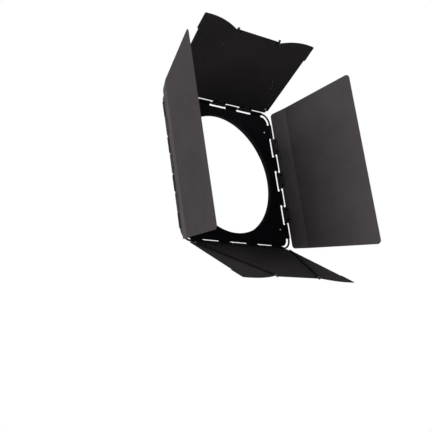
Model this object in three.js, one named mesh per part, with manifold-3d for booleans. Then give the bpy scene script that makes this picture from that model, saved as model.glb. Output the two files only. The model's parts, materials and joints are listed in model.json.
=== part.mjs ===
// Barn door attachment of a large lamp head. A square hinge plate turns on a round mounting ring.
// Four sheet leaves swing on one wire loop, and the upper and lower leaves carry folding flaps.
// Millimetres. The beam leaves toward -Y, +Z is up, +X is on the right seen from the front, and
// the origin is the centre of the mounting ring's rear face.
import * as THREE from "three";
import { mergeVertices } from "three/addons/utils/BufferGeometryUtils.js";
import Module from "manifold-3d";

// Aperture, and how far the ring's bore and flanges reach past it
const apertureDiameter = 368;
const ringBoreStep = 2;
const ringTrappedFlange = 12;
const ringRearFlange = 19;
const ringDepth = 15;
const ringSheet = 1.5;

// Base plate and the wire loop that carries the leaves
const plateBorder = 28;
const plateSheet = 1.5;
const slitWidth = 5;
const wireDiameter = 6;
const wireCornerRadius = 30;
const wireButtGap = 0.4;
const knuckleInnerGap = 8;
const knuckleOuterGap = 3;

// Clips that trap the ring behind the plate, set in from the plate's edges
const ringClipSideInset = 19;
const ringClipEndInset = 52;
const ringClipWidth = 24;
const ringClipSheet = 1.5;
const ringClipHeel = 8;
const ringClipLap = 6;
const ringClipRun = 4;
const ringClipSideGap = 1;

// Leaves
const leafSheet = 1;
const leafCornerRadius = 11;
const leafTabInset = 3;
const leafTabDepth = 2.5;
const sideLeafReach = 285;
const sideLeafOverhang = 1;
const sideLeafSpread = 51;
const sideLeafBendReach = 58;
const sideLeafBend = 7;
const endLeafReach = 245.5;
const endLeafOuterWidth = 173;
const endLeafBaseInset = 17;
const endLeafBaseReach = 10;
const endLeafCornerRadius = 4;

// Angles of the leaves from the plate, in degrees
const topLeafAngle = 57.2;
const bottomLeafAngle = 53.5;
const leftLeafAngle = 59.4;
const rightLeafAngle = 65.6;

// Clips that wrap the wire and grip a leaf's edge
const hingeClipWidth = 52;
const hingeClipSheet = 1;
const hingeClipReach = 18.5;
const hingeClipCornerRadius = 7;
const hingeClipShares = [-0.514, 0, 0.514];
const hingeClipRivetInset = 10;
const hingeClipRivetReach = 11;

// Folding flaps, measured from the root and the outer edge of the leaf that carries them
const flapRootOverhang = 3.5;
const flapRootRise = 5;
const flapStepOverhang = 1;
const flapStep = 5.5;
const flapStepRise = 2.5;
const flapStepLength = 51.5;
const flapTipOverhang = 8;
const flapTipRise = 17;
const flapCrown = 8.5;
const flapCrownDrop = 3;
const flapCornerRadius = 2.5;

// Rod, rolled knuckles, eye and nut of a flap's hinge
const rodDiameter = 3.2;
const rodStart = 8;
const rodLugInset = 1.4;
const rodLugLength = 10;
const rodLugSheet = 1.2;
const rodLugEdge = 3.6;
const rodLugRivetGap = 1;
const rodEndInset = 0.6;
const barrelStartGap = 2.6;
const barrelKnuckles = 7;
const barrelGap = 0.6;
const barrelTail = 6;
const eyeLength = 8;
const eyeSheet = 1;
const eyeEdge = 4.4;
const eyeRivetGap = 5.9;
const nutLength = 2.4;
const nutDiameter = 8;
const nutChamfer = 0.8;
const footCornerRadius = 2.5;

// Rivets
const rivetShankDiameter = 3;
const rivetHeadDiameter = 6.4;
const rivetHeadHeight = 1;
const plainRivetShankDiameter = 3;
const plainRivetHeadDiameter = 5.6;
const plainRivetHeadHeight = 1;

// Clearances
const seatGap = 0.3;
const turnGap = 0.25;
const edgeGap = 0.4;
const overrun = 20;

// Facets
const apertureSteps = 90;
const ringSteps = 64;
const cornerSteps = 4;
const crownSteps = 8;
const wireSides = 10;
const rollSteps = 8;
const rollEnd = 200;
const eyeSides = 12;
const shankSides = 6;
const headSides = 8;

// Sizes worked out from the ones above
const ringBore = apertureDiameter + 2 * ringBoreStep;
const ringTrappedDiameter = ringBore + 2 * ringTrappedFlange;
const ringFlangeDiameter = ringBore + 2 * ringRearFlange;
const wireRadius = wireDiameter / 2;
const wireBore = wireRadius + turnGap;
const slitReach = wireRadius + slitWidth;
const plateHalf = apertureDiameter / 2 + plateBorder;
const plateFront = -wireBore;
const plateRear = plateFront - plateSheet;
const wireHalf = plateHalf + slitReach;
const wireRun = wireHalf - wireCornerRadius;
const wirePlaneY = -(ringDepth + seatGap + plateSheet + wireBore);
const rodRadius = rodDiameter / 2;
const rodBore = rodRadius + seatGap;
const rodHeight = rodBore + leafSheet / 2;
const leafTabHalf = hingeClipWidth / 2 - leafTabInset;
const hingeClipPlaces = hingeClipShares.map((share) => share * wireHalf);
const hingeClipRivetOffset = hingeClipWidth / 2 - hingeClipRivetInset;
const clipRivetHole = rivetShankDiameter + 2 * seatGap;
const plainRivetHole = plainRivetShankDiameter + 2 * seatGap;

// A sheet's edge passes close beside a roll, where the roll curves away from the sheet's face.
const flapEdgeGap = Math.sqrt((rodBore + leafSheet + edgeGap) ** 2 - (rodHeight - leafSheet / 2) ** 2);

const degrees = THREE.MathUtils.degToRad;
const point = (x, y) => new THREE.Vector2(x, y);

// The hinge line of a flap in the leaf's plane, from its root to the leaf's outer edge.
const hingeRoot = point(wireHalf - endLeafBaseInset, endLeafBaseReach);
const hingeTip = point(endLeafOuterWidth / 2, endLeafReach);
const hingeLean = Math.atan2(hingeRoot.x - hingeTip.x, hingeTip.y - hingeRoot.y);

// Places along the rod. The nut just clears the leaf's outer edge, and the eye backs the nut.
const lugStart = rodStart + rodLugInset;
const barrelStart = lugStart + rodLugLength + barrelStartGap;
const eyeEnd = hingeRoot.distanceTo(hingeTip) + (nutDiameter / 2) * Math.tan(hingeLean);
const eyeStart = eyeEnd - eyeLength;
const barrelEnd = eyeStart - barrelGap;
const nutStart = eyeEnd + seatGap;
const rodEnd = nutStart + nutLength - rodEndInset;

// The rivets of a rod's lug and of its eye, along the rod and in from it.
const footRivetHalf = plainRivetHeadDiameter / 2;
const lugRivetPlace = {
  along: lugStart + rodLugLength / 2,
  inward: rodRadius + rodLugRivetGap + footRivetHalf,
};
const eyeRivetPlace = {
  along: eyeStart + eyeLength / 2,
  inward: rodBore + eyeSheet + eyeRivetGap + footRivetHalf,
};

const wasm = await Module();
wasm.setup();

const finishes = {
  leafPaint: { color: 0x2c2a2c, roughness: 0.6, metalness: 0.2 },
  platePaint: { color: 0x1f1e21, roughness: 0.6, metalness: 0.2 },
  ringPaint: { color: 0x232326, roughness: 0.55, metalness: 0.2 },
  blackSteel: { color: 0x151516, roughness: 0.45, metalness: 0.6 },
  paleRivet: { color: 0xb4b2ae, roughness: 0.35, metalness: 0.9 },
};

// A closed three.js geometry, moved by a matrix, as a solid that can be joined and cut.
function solid(geometry, matrix = new THREE.Matrix4()) {
  const bare = geometry.clone().applyMatrix4(matrix);
  bare.deleteAttribute("normal");
  bare.deleteAttribute("uv");
  const merged = mergeVertices(bare);
  const triVerts = new Uint32Array(merged.index.array);
  if (matrix.determinant() < 0) triVerts.reverse();
  const vertProperties = merged.attributes.position.array;
  return new wasm.Manifold(new wasm.Mesh({ numProp: 3, vertProperties, triVerts }));
}

function geometryOf(body) {
  const mesh = body.getMesh();
  const geometry = new THREE.BufferGeometry();
  geometry.setAttribute("position", new THREE.BufferAttribute(mesh.vertProperties, 3));
  geometry.setIndex(new THREE.BufferAttribute(mesh.triVerts, 1));
  geometry.computeVertexNormals();
  return geometry;
}

function piece(name, body, finish) {
  const mesh = new THREE.Mesh(geometryOf(body), new THREE.MeshStandardMaterial(finishes[finish]));
  mesh.name = name;
  return mesh;
}

function joined(bodies) {
  return bodies.reduce((whole, body) => whole.add(body));
}

// Axes of the new frame as seen in the old one.
function frame(xAxis, yAxis, zAxis, origin = new THREE.Vector3()) {
  return new THREE.Matrix4().makeBasis(xAxis, yAxis, zAxis).setPosition(origin);
}

const axisX = new THREE.Vector3(1, 0, 0);
const axisY = new THREE.Vector3(0, 1, 0);
const axisZ = new THREE.Vector3(0, 0, 1);
const mirrorX = new THREE.Matrix4().makeScale(-1, 1, 1);

function arc(centre, radius, from, to, steps) {
  const points = [];
  for (let i = 0; i <= steps; i++) {
    const angle = degrees(from + ((to - from) * i) / steps);
    points.push(point(centre.x + radius * Math.cos(angle), centre.y + radius * Math.sin(angle)));
  }
  return points;
}

function circle(x, y, radius, sides) {
  return arc(point(x, y), radius, 0, 360, sides).slice(0, -1);
}

// Replaces a corner by a fillet that is tangent to both of its edges.
function fillet(before, corner, after, radius) {
  const back = before.clone().sub(corner).normalize();
  const ahead = after.clone().sub(corner).normalize();
  const half = Math.acos(THREE.MathUtils.clamp(back.dot(ahead), -1, 1)) / 2;
  const centre = back.clone().add(ahead).normalize().multiplyScalar(radius / Math.sin(half));
  centre.add(corner);
  const start = corner.clone().addScaledVector(back, radius / Math.tan(half)).sub(centre);
  const end = corner.clone().addScaledVector(ahead, radius / Math.tan(half)).sub(centre);
  const turn = Math.atan2(start.cross(end), start.dot(end));
  const points = [];
  for (let i = 0; i <= cornerSteps; i++) {
    points.push(start.clone().rotateAround(point(0, 0), (turn * i) / cornerSteps).add(centre));
  }
  return points;
}

// Corners are [point, radius] pairs, and a radius of zero leaves the corner sharp.
function outline(corners) {
  return corners.flatMap(([corner, radius], i) => {
    const before = corners[(i + corners.length - 1) % corners.length][0];
    const after = corners[(i + 1) % corners.length][0];
    return radius > 0 ? fillet(before, corner, after, radius) : [corner];
  });
}

function extruded(points, depth, holes = []) {
  const shape = new THREE.Shape(points);
  for (const hole of holes) shape.holes.push(new THREE.Path(hole));
  return new THREE.ExtrudeGeometry(shape, { depth, bevelEnabled: false });
}

// A flat sheet in the XY plane, with its middle surface at height zero.
function sheet(points, thickness, holes = []) {
  return solid(extruded(points, thickness, holes), shifted(0, 0, -thickness / 2));
}

function shifted(x, y, z) {
  return new THREE.Matrix4().makeTranslation(x, y, z);
}

// A cylinder along Z from one height to another.
function post(x, y, from, to, diameter, sides) {
  const geometry = new THREE.CylinderGeometry(diameter / 2, diameter / 2, to - from, sides);
  geometry.rotateX(degrees(90));
  return solid(geometry, shifted(x, y, (from + to) / 2));
}

// A rivet along Z that grips everything between two heights.
function rivet(x, y, low, high, sizes) {
  return joined([
    post(x, y, low - sizes.headHeight, high + sizes.headHeight, sizes.shank, shankSides),
    post(x, y, low - sizes.headHeight, low, sizes.head, headSides),
    post(x, y, high, high + sizes.headHeight, sizes.head, headSides),
  ]);
}

const clipRivet = {
  shank: rivetShankDiameter,
  head: rivetHeadDiameter,
  headHeight: rivetHeadHeight,
};
const plainRivet = {
  shank: plainRivetShankDiameter,
  head: plainRivetHeadDiameter,
  headHeight: plainRivetHeadHeight,
};

// A sheet edge rolled round a rod. The sheet comes in from -X under the rod and curls over it.
function rolledKnuckle(bore, thickness, tail, length) {
  const outer = bore + thickness;
  const profile = [
    point(-tail, -outer),
    ...arc(point(0, 0), outer, -90, rollEnd, rollSteps),
    ...arc(point(0, 0), bore, rollEnd, -90, rollSteps),
    point(-tail, -bore),
  ];
  return extruded(profile, length);
}

// The ring is a spool of sheet: its front flange is trapped by clips, its rear one fits the lamp.
function mountingRing() {
  const bore = ringBore / 2;
  const neck = bore + ringSheet;
  const profile = [
    point(bore, 0),
    point(bore, -ringDepth),
    point(ringTrappedDiameter / 2, -ringDepth),
    point(ringTrappedDiameter / 2, ringSheet - ringDepth),
    point(neck, ringSheet - ringDepth),
    point(neck, -ringSheet),
    point(ringFlangeDiameter / 2, -ringSheet),
    point(ringFlangeDiameter / 2, 0),
    point(bore, 0),
  ];
  return piece("mounting_ring", solid(new THREE.LatheGeometry(profile, ringSteps)), "ringPaint");
}

function basePlate() {
  const corner = wireCornerRadius - slitReach;
  const square = [
    [point(plateHalf, plateHalf), corner],
    [point(-plateHalf, plateHalf), corner],
    [point(-plateHalf, -plateHalf), corner],
    [point(plateHalf, -plateHalf), corner],
  ];
  const holes = [circle(0, 0, apertureDiameter / 2, apertureSteps)];
  for (const [x, y] of ringClipPlaces()) {
    holes.push(circle(x, y, plainRivetHole / 2, shankSides));
  }
  const flat = solid(extruded(outline(square), plateSheet, holes), shifted(0, 0, plateRear));
  return piece("base_plate", joined([flat, ...plateKnuckles()]), "platePaint");
}

function plateKnuckles() {
  const tail = slitReach + plateSheet;
  const knuckles = [];
  for (const [from, to] of plateKnuckleSpans()) {
    const roll = rolledKnuckle(wireBore, plateSheet, tail, to - from);
    const place = frame(axisY, axisZ, axisX, new THREE.Vector3(from, wireHalf, 0));
    for (let side = 0; side < 4; side++) {
      const turn = new THREE.Matrix4().makeRotationZ((side * Math.PI) / 2);
      knuckles.push(solid(roll, turn.multiply(place)));
    }
  }
  return knuckles;
}

// The plate's knuckles fill the straight run of the wire between the clips of a leaf.
function plateKnuckleSpans() {
  const half = hingeClipWidth / 2;
  const starts = hingeClipPlaces.map((place) => place + half + knuckleInnerGap);
  const ends = hingeClipPlaces.map((place) => place - half - knuckleInnerGap);
  const inner = starts.slice(0, -1).map((start, i) => [start, ends[i + 1]]);
  const outerStart = hingeClipPlaces.at(-1) + half + knuckleOuterGap;
  const outerEnd = wireRun - knuckleOuterGap;
  return [[-outerEnd, -outerStart], ...inner, [outerStart, outerEnd]];
}

// A path that is sampled at its own stations, so that a straight run takes one step.
class StationPath extends THREE.Curve {
  constructor(stations) {
    super();
    this.stations = stations;
  }

  stationAt(t) {
    return this.stations[Math.round(t * (this.stations.length - 1))];
  }

  getPoint(t) {
    return this.stationAt(t).place.clone();
  }

  getPointAt(t) {
    return this.getPoint(t);
  }

  getTangentAt(t) {
    return this.stationAt(t).heading.clone();
  }
}

// The loop is one rod bent at four corners. Its ends meet inside a knuckle of the lower edge.
function wireStations() {
  const [knuckleFrom, knuckleTo] = plateKnuckleSpans()[1];
  const butt = (knuckleFrom + knuckleTo) / 2;
  const station = (x, y, angle) => ({
    place: new THREE.Vector3(x, y, 0),
    heading: new THREE.Vector3(Math.cos(angle), Math.sin(angle), 0),
  });
  const stations = [station(butt + wireButtGap / 2, -wireHalf, 0)];
  for (let corner = 0; corner < 4; corner++) {
    for (let i = 0; i <= cornerSteps; i++) {
      const angle = (Math.PI / 2) * (corner + i / cornerSteps);
      const middle = point(wireRun, -wireRun).rotateAround(point(0, 0), (corner * Math.PI) / 2);
      const x = middle.x + wireCornerRadius * Math.sin(angle);
      const y = middle.y - wireCornerRadius * Math.cos(angle);
      stations.push(station(x, y, angle));
    }
  }
  stations.push(station(butt - wireButtGap / 2, -wireHalf, 2 * Math.PI));
  return stations;
}

function hingeWire() {
  const stations = wireStations();
  const section = new THREE.Shape(circle(0, 0, wireRadius, wireSides));
  const settings = {
    steps: stations.length - 1,
    bevelEnabled: false,
    extrudePath: new StationPath(stations),
  };
  return piece("hinge_wire", solid(new THREE.ExtrudeGeometry(section, settings)), "blackSteel");
}

function ringClipPlaces() {
  const x = plateHalf - ringClipSideInset;
  const y = plateHalf - ringClipEndInset;
  return [
    [x, y, "upper_right"],
    [-x, y, "upper_left"],
    [-x, -y, "lower_left"],
    [x, -y, "lower_right"],
  ];
}

// A strip riveted behind the plate, joggled to lie behind the ring's trapped flange.
function ringClipBody(reach) {
  const footFront = plateRear - seatGap;
  const footRear = footFront - ringClipSheet;
  const lipFront = plateRear - seatGap - ringSheet - seatGap;
  const lipRear = lipFront - ringClipSheet;
  const flange = ringTrappedDiameter / 2;
  const joggle = flange + ringClipSideGap;
  const profile = [
    point(reach + ringClipHeel, footFront),
    point(joggle + ringClipRun, footFront),
    point(joggle, lipFront),
    point(flange - ringClipLap, lipFront),
    point(flange - ringClipLap, lipRear),
    point(joggle + ringClipSheet / 2, lipRear),
    point(joggle + ringClipRun + ringClipSheet / 2, footRear),
    point(reach + ringClipHeel, footRear),
  ];
  const place = frame(axisX, axisZ, axisY.clone().negate(), new THREE.Vector3(0, ringClipWidth / 2, 0));
  const strip = solid(extruded(profile, ringClipWidth), place);
  return strip.subtract(post(reach, 0, lipRear - overrun, overrun, plainRivetHole, shankSides));
}

function ringClips() {
  const pieces = [];
  for (const [x, y, place] of ringClipPlaces()) {
    const body = ringClipBody(Math.hypot(x, y));
    const clip = piece("ring_clip_" + place, body, "blackSteel");
    clip.rotation.z = Math.atan2(y, x);
    const low = plateRear - seatGap - ringClipSheet - seatGap;
    const pin = rivet(x, y, low, plateFront + seatGap, plainRivet);
    pieces.push(clip, piece("ring_clip_rivet_" + place, pin, "paleRivet"));
  }
  return pieces;
}

// Corners of a leaf's hinge edge, from right to left, with a tab in the mouth of each clip.
function hingeEdge() {
  const corners = [];
  for (const middle of [...hingeClipPlaces].reverse()) {
    corners.push([point(middle + leafTabHalf, slitReach), 0]);
    corners.push([point(middle + leafTabHalf, slitReach - leafTabDepth), 0]);
    corners.push([point(middle - leafTabHalf, slitReach - leafTabDepth), 0]);
    corners.push([point(middle - leafTabHalf, slitReach), 0]);
  }
  return corners;
}

function clipRivetPlaces() {
  return hingeClipPlaces.flatMap((place) => [
    place - hingeClipRivetOffset,
    place + hingeClipRivetOffset,
  ]);
}

function clipRivetHoles() {
  const radius = clipRivetHole / 2;
  return clipRivetPlaces().map((x) => circle(x, hingeClipRivetReach, radius, shankSides));
}

// A side leaf has one bend parallel to its hinge, which turns its outer part into the beam.
function sideLeafBody() {
  const bend = degrees(sideLeafBend);
  const outerReach = sideLeafReach - sideLeafBendReach;
  const half = leafSheet / 2;
  const run = point(Math.cos(bend), Math.sin(bend)).multiplyScalar(outerReach + overrun);
  const lift = point(-Math.sin(bend), Math.cos(bend)).multiplyScalar(half);
  const knee = half * Math.tan(bend / 2);
  const profile = [
    point(0, -half),
    point(sideLeafBendReach + knee, -half),
    point(sideLeafBendReach + run.x - lift.x, run.y - lift.y),
    point(sideLeafBendReach + run.x + lift.x, run.y + lift.y),
    point(sideLeafBendReach - knee, half),
    point(0, half),
  ];
  const hingeHalf = wireHalf + sideLeafOverhang;
  const outerHalf = hingeHalf + sideLeafSpread;
  const width = 2 * (outerHalf + overrun);
  const place = frame(axisY, axisZ, axisX, new THREE.Vector3(-width / 2, 0, 0));
  const bent = solid(extruded(profile, width), place);
  const depth = 2 * (outerReach * Math.sin(bend) + overrun);
  const end = sideLeafBendReach + outerReach * Math.cos(bend);
  const corners = [
    ...hingeEdge(),
    [point(-hingeHalf, slitReach), leafCornerRadius],
    [point(-outerHalf, end), leafCornerRadius],
    [point(outerHalf, end), leafCornerRadius],
    [point(hingeHalf, slitReach), leafCornerRadius],
  ];
  return bent.intersect(sheet(outline(corners), depth, clipRivetHoles()));
}

// The frame of a flap hinge: X leaves the leaf, Y runs along the rod, Z leaves the rod's side.
// It lies on the leaf's own -X side, and the hinge on the other side is its mirror image.
function rodFrame() {
  const place = new THREE.Matrix4().makeRotationZ(hingeLean);
  place.setPosition(hingeRoot.x, hingeRoot.y, rodHeight);
  return new THREE.Matrix4().makeRotationY(Math.PI).multiply(place);
}

// The point at a given reach that lies outside the hinge line by an offset square to it.
function besideHinge(offset, reach) {
  const across = offset / Math.cos(hingeLean) - (reach - hingeRoot.y) * Math.tan(hingeLean);
  return point(hingeRoot.x + across, reach);
}

function knuckleSpans() {
  const pitch = (barrelEnd - barrelStart + barrelGap) / barrelKnuckles;
  const spans = [];
  for (let i = 0; i < barrelKnuckles; i++) {
    spans.push([barrelStart + i * pitch, barrelStart + (i + 1) * pitch - barrelGap]);
  }
  return spans;
}

// Rolled knuckles along a flap's hinge line, in the rod's frame. The leaf has every other one.
function barrel(first, ofFlap) {
  const spans = knuckleSpans().filter((span, i) => i % 2 === first);
  return spans.map(([from, to]) => {
    const roll = rolledKnuckle(rodBore, leafSheet, barrelTail, to - from);
    const origin = new THREE.Vector3(0, ofFlap ? from : to, 0);
    const away = ofFlap ? axisX.clone().negate() : axisX;
    const along = ofFlap ? axisY : axisY.clone().negate();
    return solid(roll, frame(away, axisZ, along, origin));
  });
}

function endLeafBody() {
  const base = besideHinge(-flapEdgeGap, slitReach);
  const outer = besideHinge(-flapEdgeGap, endLeafReach);
  const corners = [
    ...hingeEdge(),
    [point(-base.x, base.y), endLeafCornerRadius],
    [point(-outer.x, outer.y), endLeafCornerRadius],
    [outer, endLeafCornerRadius],
    [base, endLeafCornerRadius],
  ];
  const holes = clipRivetHoles();
  for (const { along, inward } of [lugRivetPlace, eyeRivetPlace]) {
    const place = new THREE.Vector3(-inward, along, 0).applyMatrix4(rodFrame());
    holes.push(circle(place.x, place.y, plainRivetHole / 2, shankSides));
    holes.push(circle(-place.x, place.y, plainRivetHole / 2, shankSides));
  }
  const flat = sheet(outline(corners), leafSheet, holes);
  const rolls = joined(barrel(0, false));
  const left = placed(rolls, rodFrame());
  const right = placed(rolls, mirrorX.clone().multiply(rodFrame()));
  return joined([flat, left, right]);
}

function placed(body, matrix) {
  return solid(geometryOf(body), matrix);
}

// Outer corner of a flap in the leaf's plane.
function flapTip() {
  return point(wireHalf + flapTipOverhang, endLeafReach + flapTipRise);
}

// The flap's crown is an arc from just below the leaf's outer corner to the flap's own one.
function flapCrownPoints() {
  const inner = besideHinge(flapEdgeGap, hingeTip.y - flapCrownDrop);
  const outer = flapTip();
  const chord = inner.clone().sub(outer);
  const rise = point(chord.y, -chord.x).normalize();
  const points = [];
  for (let i = 1; i <= crownSteps; i++) {
    const share = i / crownSteps;
    const spot = outer.clone().addScaledVector(chord, share);
    points.push(spot.addScaledVector(rise, 4 * flapCrown * share * (1 - share)));
  }
  return points;
}

// A flap lies in the leaf's plane, and its outline is drawn there before it joins its knuckles.
function flapBody() {
  const rootReach = hingeRoot.y + flapRootRise;
  const edge = wireHalf + flapStepOverhang;
  const stepReach = flapTip().y - flapStepLength;
  const rounded = outline([
    [besideHinge(flapEdgeGap, rootReach), 0],
    [point(hingeRoot.x + flapRootOverhang, rootReach), 0],
    [point(edge, stepReach), 0],
    [point(edge + flapStep, stepReach + flapStepRise), 0],
    [flapTip(), flapCornerRadius],
    ...flapCrownPoints().map((spot) => [spot, 0]),
  ]);
  const toRod = rodFrame().invert().multiply(mirrorX);
  const flat = placed(sheet(rounded, leafSheet), toRod);
  return joined([flat, ...barrel(1, true)]);
}

// A foot that reaches inward from a rod to lie on the leaf, pierced for its rivet.
function footBody(root, start, length, edge, thickness, rivetPlace) {
  const reach = rivetPlace.inward + edge;
  const corners = [
    [point(-root, start), 0],
    [point(-root, start + length), 0],
    [point(-reach, start + length), footCornerRadius],
    [point(-reach, start), footCornerRadius],
  ];
  const hole = circle(-rivetPlace.inward, rivetPlace.along, plainRivetHole / 2, shankSides);
  return solid(extruded(outline(corners), thickness, [hole]), shifted(0, 0, -rodRadius));
}

function footRivetBody({ along, inward }, thickness) {
  const low = -rodHeight - leafSheet / 2 - seatGap;
  return rivet(-inward, along, low, thickness - rodRadius + seatGap, plainRivet);
}

// The rod's root end is flattened into a lug, which a rivet holds to the leaf.
function flapRodBody() {
  const rod = post(0, 0, rodStart, rodEnd, rodDiameter, wireSides);
  const alongY = frame(axisX, axisZ.clone().negate(), axisY);
  const lug = footBody(0, lugStart, rodLugLength, rodLugEdge, rodLugSheet, lugRivetPlace);
  return placed(rod, alongY).add(lug);
}

// A closed eye at the leaf's outer edge carries the rod's end and is riveted to the leaf.
function rodEyeBody() {
  const outer = rodBore + eyeSheet;
  const ring = post(0, 0, eyeStart, eyeEnd, 2 * outer, eyeSides);
  const bore = post(0, 0, eyeStart - overrun, eyeEnd + overrun, 2 * rodBore, eyeSides);
  const alongY = frame(axisX, axisZ.clone().negate(), axisY);
  const foot = footBody(rodBore, eyeStart, eyeLength, eyeEdge, eyeSheet, eyeRivetPlace);
  return placed(ring, alongY).add(foot).subtract(placed(bore, alongY));
}

function rodNutBody() {
  const radius = nutDiameter / 2;
  const end = nutStart + nutLength;
  const profile = [
    point(rodBore, nutStart),
    point(radius - nutChamfer, nutStart),
    point(radius, nutStart + nutChamfer),
    point(radius, end - nutChamfer),
    point(radius - nutChamfer, end),
    point(rodBore, end),
    point(rodBore, nutStart),
  ];
  return solid(new THREE.LatheGeometry(profile, eyeSides));
}

// A strip bent round the wire. Its two legs grip the leaf's edge, and two rivets close them.
function hingeClipBody() {
  const outer = wireBore + hingeClipSheet;
  const mouth = leafSheet / 2 + seatGap;
  const back = mouth + hingeClipSheet;
  const outerMouth = THREE.MathUtils.radToDeg(Math.asin(back / outer));
  const innerMouth = THREE.MathUtils.radToDeg(Math.asin(mouth / wireBore));
  const profile = [
    point(hingeClipReach, back),
    ...arc(point(0, 0), outer, outerMouth, 360 - outerMouth, rollSteps),
    point(hingeClipReach, -back),
    point(hingeClipReach, -mouth),
    ...arc(point(0, 0), wireBore, 360 - innerMouth, innerMouth, rollSteps),
    point(hingeClipReach, mouth),
  ];
  const place = frame(axisY, axisZ, axisX, new THREE.Vector3(-hingeClipWidth / 2, 0, 0));
  const strap = solid(extruded(profile, hingeClipWidth), place);
  const half = hingeClipWidth / 2;
  const plan = outline([
    [point(-half, -outer - overrun), 0],
    [point(half, -outer - overrun), 0],
    [point(half, hingeClipReach), hingeClipCornerRadius],
    [point(-half, hingeClipReach), hingeClipCornerRadius],
  ]);
  const rivets = [-1, 1].map((side) =>
    rivet(side * hingeClipRivetOffset, hingeClipRivetReach, -back, back, clipRivet),
  );
  return joined([strap.intersect(sheet(plan, 2 * outer + overrun)), ...rivets]);
}

// A leaf's frame: X runs along the hinge, Y leaves the wire in the sheet, Z is the inner side.
function leafGroup(name, turn, angle, body) {
  const side = new THREE.Group();
  side.rotation.z = degrees(turn);
  const leaf = new THREE.Group();
  leaf.position.y = wireHalf;
  leaf.rotation.x = degrees(angle);
  leaf.add(piece(name, body, "leafPaint"));
  hingeClipPlaces.forEach((place, i) => {
    const clip = piece(name + "_hinge_clip_" + (i + 1), hingeClipBody(), "leafPaint");
    clip.position.x = place;
    leaf.add(clip);
  });
  side.add(leaf);
  return { side, leaf };
}

function sideLeaf(name, turn, angle) {
  return leafGroup(name, turn, angle, sideLeafBody()).side;
}

// A hinge at one slanted edge of an end leaf, with the flap laid flat.
function flapHinge(name, mirrored) {
  const hinge = new THREE.Group();
  hinge.applyMatrix4(rodFrame());
  hinge.add(
    piece(name + "_flap", flapBody(), "leafPaint"),
    piece(name + "_flap_rod", flapRodBody(), "blackSteel"),
    piece(name + "_rod_rivet", footRivetBody(lugRivetPlace, rodLugSheet), "paleRivet"),
    piece(name + "_rod_eye", rodEyeBody(), "blackSteel"),
    piece(name + "_eye_rivet", footRivetBody(eyeRivetPlace, eyeSheet), "blackSteel"),
    piece(name + "_rod_nut", rodNutBody(), "blackSteel"),
  );
  const hand = new THREE.Group();
  hand.scale.x = mirrored ? -1 : 1;
  hand.add(hinge);
  return hand;
}

// The upper and the lower leaf are one part. Turned over, it has its rods on the inner side.
function endLeaf(name, turn, angle, turnedOver) {
  const { side, leaf } = leafGroup(name + "_leaf", turn, angle, endLeafBody());
  leaf.add(flapHinge(name + "_right", true), flapHinge(name + "_left", false));
  leaf.rotateY(turnedOver ? Math.PI : 0);
  return side;
}

// The front frame has its origin at the centre of the wire loop, with Z along the beam.
function frontAssembly() {
  const front = new THREE.Group();
  front.position.y = wirePlaneY;
  front.rotation.x = degrees(90);
  front.add(
    basePlate(),
    hingeWire(),
    ...ringClips(),
    endLeaf("top", 0, topLeafAngle, false),
    endLeaf("bottom", 180, bottomLeafAngle, true),
    sideLeaf("left_leaf", 90, leftLeafAngle),
    sideLeaf("right_leaf", -90, rightLeafAngle),
  );
  return front;
}

const barnDoor = new THREE.Group();
barnDoor.name = "barn_door";
barnDoor.add(mountingRing(), frontAssembly());

export default barnDoor;
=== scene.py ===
"""Finished surfaces of a barn door attachment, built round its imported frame."""

import json
import math
from contextlib import contextmanager

import bmesh
import bpy
from bpy.props import FloatProperty, FloatVectorProperty, IntProperty, PointerProperty
from mathutils import Matrix, Vector

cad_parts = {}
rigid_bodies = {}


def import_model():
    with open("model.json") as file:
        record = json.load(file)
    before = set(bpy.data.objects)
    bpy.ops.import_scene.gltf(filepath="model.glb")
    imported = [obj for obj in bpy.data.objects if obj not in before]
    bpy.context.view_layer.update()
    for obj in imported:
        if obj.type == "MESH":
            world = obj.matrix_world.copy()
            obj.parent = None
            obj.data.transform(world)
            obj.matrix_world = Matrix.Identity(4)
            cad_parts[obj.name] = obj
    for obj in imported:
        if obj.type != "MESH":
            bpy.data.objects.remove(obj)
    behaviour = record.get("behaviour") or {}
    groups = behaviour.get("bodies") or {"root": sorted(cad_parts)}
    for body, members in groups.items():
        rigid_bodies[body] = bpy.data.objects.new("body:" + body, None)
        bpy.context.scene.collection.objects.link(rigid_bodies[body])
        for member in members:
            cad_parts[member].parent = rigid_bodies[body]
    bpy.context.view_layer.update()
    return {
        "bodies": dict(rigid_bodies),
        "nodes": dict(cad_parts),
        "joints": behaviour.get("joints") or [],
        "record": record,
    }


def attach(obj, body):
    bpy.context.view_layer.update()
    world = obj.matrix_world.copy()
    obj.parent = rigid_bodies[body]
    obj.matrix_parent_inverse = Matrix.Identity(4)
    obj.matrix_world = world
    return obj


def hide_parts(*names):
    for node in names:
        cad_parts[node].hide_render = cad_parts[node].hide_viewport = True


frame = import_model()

bl_info = {
    "name": "Barn Door Attachment",
    "version": (1, 0, 0),
    "blender": (4, 5, 0),
    "location": "3D View > Sidebar > Barn Door",
    "description": "Builds a four-leaf barn door attachment for a large lamp head",
    "category": "Object",
}

HINGES = {joint["name"]: joint["pos_m"] for joint in frame["record"]["behaviour"]["joints"]}
WIRE_PLANE, WIRE_HALF = HINGES["top_leaf_hinge"][1:]

LEAF_TURNS = {"top": 0, "left": 90, "bottom": 180, "right": -90}
TURNED_OVER = {"bottom"}
END_LEAVES = ("top", "bottom")
HANDS = {"right": 1, "left": -1}
CORNERS = {
    "upper_right": (1, 1),
    "upper_left": (-1, 1),
    "lower_left": (-1, -1),
    "lower_right": (1, -1),
}

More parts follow.
